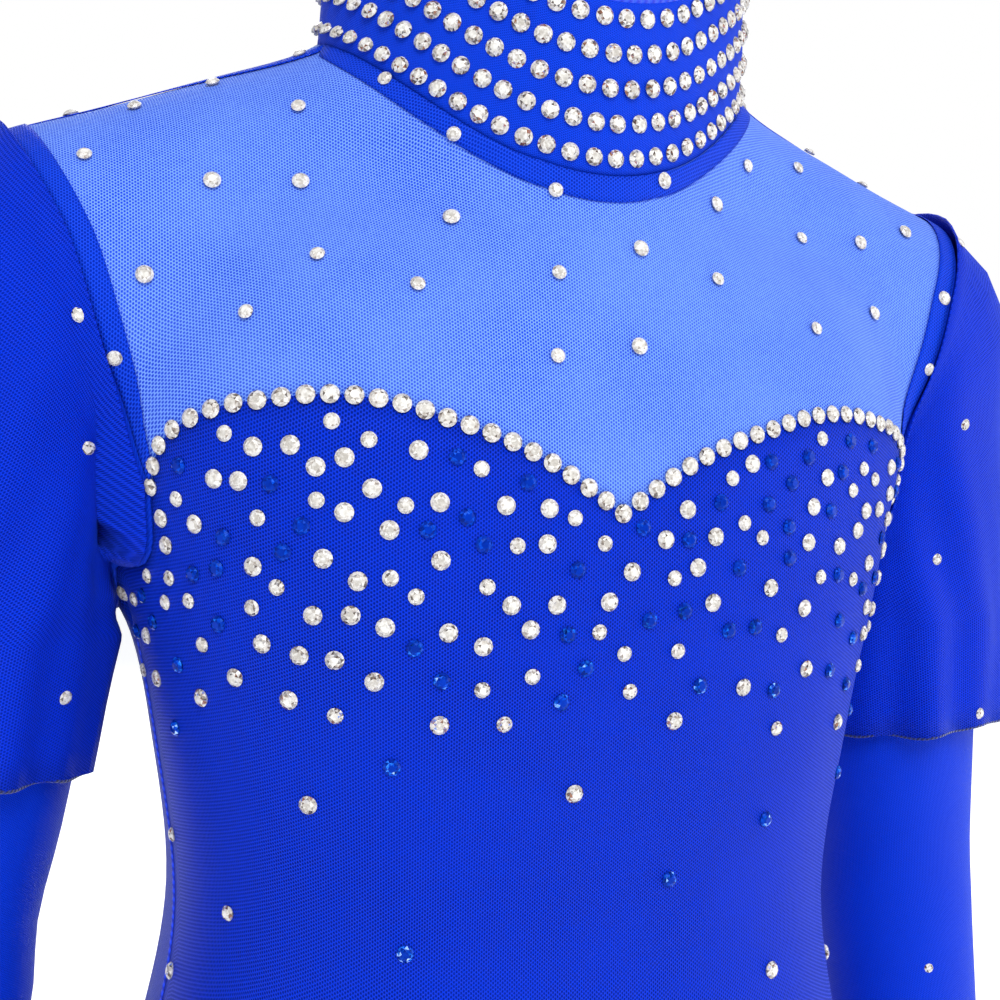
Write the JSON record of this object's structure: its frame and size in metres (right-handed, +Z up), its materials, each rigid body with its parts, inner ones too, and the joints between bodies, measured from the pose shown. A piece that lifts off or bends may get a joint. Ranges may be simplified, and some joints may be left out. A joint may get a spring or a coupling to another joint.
{
  "type": "gymnastics leotard",
  "caption": "Child's long-sleeved gymnastics leotard with a high stoned collar, sheer yoke above a sweetheart neckline, petal over-sleeves, high-cut legs and a centre-back zip.",
  "frame": {"origin": "centre of the neck base, level with the side neck points, where the garment rests on the body", "axes": "+Z up towards the head, -Y the wearer's front, +X the wearer's left"},
  "size_m": [0.3797, 0.1925, 0.5415],
  "materials": {
    "blue_knit": "fine honeycomb mesh over lining, soft sheen",
    "sheer_mesh": "open honeycomb stretch mesh",
    "lining": "smooth tricot",
    "doubled_mesh": "doubled mesh",
    "navy_thread": "overlocked rolled hem",
    "crystal": "faceted flat-back stones",
    "zip_teeth": "moulded coil",
    "steel": "fine brushed"
  },
  "bodies": {
    "garment": {"armhole_seam_tape_left": "doubled_mesh", "armhole_seam_tape_right": "doubled_mesh", "back_body_panel": "blue_knit", "back_yoke_left": "sheer_mesh", "back_yoke_right": "sheer_mesh", "collar": "blue_knit", "collar_eye": "steel", "collar_hook": "steel", "collar_lining": "lining", "collar_seam_tape": "doubled_mesh", "collar_stone_row_1": "crystal", "collar_stone_row_2": "crystal", "collar_stone_row_3": "crystal", "collar_stone_row_4": "crystal", "collar_stone_row_5": "crystal", "crotch_gusset": "lining", "front_body_panel": "blue_knit", "front_lining": "lining", "front_yoke": "sheer_mesh", "leg_elastic_left": "doubled_mesh", "leg_elastic_right": "doubled_mesh", "neckline_stone_row": "crystal", "oversleeve_back_hem_left": "navy_thread", "oversleeve_back_hem_right": "navy_thread", "oversleeve_back_left": "blue_knit", "oversleeve_back_right": "blue_knit", "oversleeve_front_hem_left": "navy_thread", "oversleeve_front_hem_right": "navy_thread", "oversleeve_front_left": "blue_knit", "oversleeve_front_right": "blue_knit", "shoulder_seam_tape_left": "doubled_mesh", "shoulder_seam_tape_right": "doubled_mesh", "sleeve_left": "blue_knit", "sleeve_right": "blue_knit", "wrist_hem_left": "doubled_mesh", "wrist_hem_right": "doubled_mesh", "zip_bottom_stop": "steel", "zip_tape_left": "doubled_mesh", "zip_tape_right": "doubled_mesh", "zip_teeth_left": "zip_teeth", "zip_teeth_right": "zip_teeth", "zip_top_stop_left": "steel", "zip_top_stop_right": "steel"},
    "slider": {"zip_slider": "steel"},
    "pull_tab": {"zip_pull_tab": "steel"}
  },
  "joints": [
    {"name": "zip_slide", "type": "slide", "parent": "garment", "child": "slider", "axis": [0, 0.2503, -0.9682], "range_m": [0, 0.1527]},
    {"name": "pull_tab_swing", "type": "hinge", "parent": "slider", "child": "pull_tab", "pos_m": [0, 0.05342, 0.0324], "axis": [1, 0, 0], "range_deg": [0, 160]}
  ]
}
